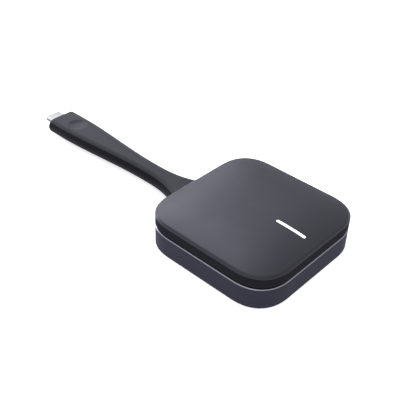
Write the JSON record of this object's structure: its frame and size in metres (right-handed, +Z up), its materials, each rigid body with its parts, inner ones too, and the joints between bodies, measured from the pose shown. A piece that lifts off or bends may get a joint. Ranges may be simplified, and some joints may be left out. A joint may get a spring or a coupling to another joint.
{
  "type": "wireless screen-casting button",
  "caption": "Flat rounded-square puck with a sprung press top and a light bar, on a flexible moulded tail that ends in a USB-C plug with a finger dish.",
  "frame": {"origin": "centre of the rubber foot's face, where the puck stands", "axes": "+Z up; the flexible tail and its plug lie towards -X, the light bar is on the +X side; Y across"},
  "size_m": [0.1538, 0.06, 0.0166],
  "materials": {
    "foot_rubber": "fine matte grain",
    "shell_plastic": "fine spark-eroded texture, satin",
    "cap_plastic": "fine spark-eroded texture with a soft-touch coat",
    "tail_rubber": "smooth soft-touch elastomer",
    "frame_plastic": "moulded, matte black",
    "board_laminate": "green solder mask on glass-epoxy laminate",
    "chip_epoxy": "moulded epoxy, matte",
    "can_steel": "tin-plated, satin",
    "screw_steel": "zinc-plated, satin",
    "spring_steel": "drawn wire, smooth",
    "usb_steel": "deep-drawn stainless, bright satin",
    "ceramic": "fired ceramic with tinned ends",
    "led_package": "clear resin over a pale phosphor",
    "light_diffuser": "opal white, lit from behind",
    "light_pipe": "clear moulded acrylic",
    "spreader_aluminium": "rolled sheet, satin",
    "thermal_silicone": "soft filled silicone",
    "connector_nylon": "natural nylon",
    "jacket_rubber": "smooth cable jacket",
    "core_copper": "stranded copper in thin insulation",
    "plug_plastic": "hot-melt moulded inner plug body",
    "contact_gold": "gold-plated"
  },
  "bodies": {
    "base": {"foot_pad": "foot_rubber", "lower_shell": "shell_plastic", "case_screws": "screw_steel", "mid_frame": "frame_plastic", "main_board": "board_laminate", "processor_chip": "chip_epoxy", "memory_chips": "chip_epoxy", "shield_can": "can_steel", "radio_module": "can_steel", "antennas": "ceramic", "passive_parts": "ceramic", "crystal": "can_steel", "status_leds": "led_package", "heat_spreader": "spreader_aluminium", "thermal_pad": "thermal_silicone", "switch_body": "frame_plastic", "switch_cover": "can_steel", "board_socket": "connector_nylon", "cable_connector": "connector_nylon", "cable_clamp": "can_steel", "clamp_screws": "screw_steel", "return_springs": "spring_steel", "tail_root": "tail_rubber", "tail_neck": "tail_rubber", "cable_jacket": "jacket_rubber", "cable_cores": "core_copper"},
    "cap": {"top_cap": "cap_plastic", "light_bar": "light_diffuser", "light_pipe": "light_pipe", "cap_carrier": "frame_plastic", "carrier_screws": "screw_steel", "retaining_screws": "screw_steel"},
    "plunger": {"switch_plunger": "connector_nylon"},
    "plug_end": {"tail_head": "tail_rubber", "crimp_ferrule": "can_steel", "plug_core": "plug_plastic", "plug_board": "board_laminate", "marker_chip": "chip_epoxy", "usb_shell": "usb_steel", "usb_insulator": "frame_plastic", "usb_contacts": "contact_gold", "usb_latches": "usb_steel"}
  },
  "joints": [
    {"name": "cap_press", "type": "slide", "parent": "base", "child": "cap", "axis": [0, 0, -1], "range_m": [0, 0.0005], "stiffness_N_per_m": 1500, "springref_m": -0.001, "deforming": ["return_springs"]},
    {"name": "plunger_press", "type": "slide", "parent": "base", "child": "plunger", "axis": [0, 0, -1], "range_m": [0, 0.0005]},
    {"name": "tail_flex", "type": "hinge", "parent": "base", "child": "plug_end", "pos_m": [-0.055, 0, 0.00498], "axis": [0, 1, 0], "range_deg": [-40, 45], "stiffness_Nm_per_rad": 0.15, "deforming": ["tail_neck", "cable_jacket", "cable_cores"]}
  ],
  "couplings": [
    {"joint": "plunger_press", "follows": "cap_press", "ratio": 1}
  ]
}
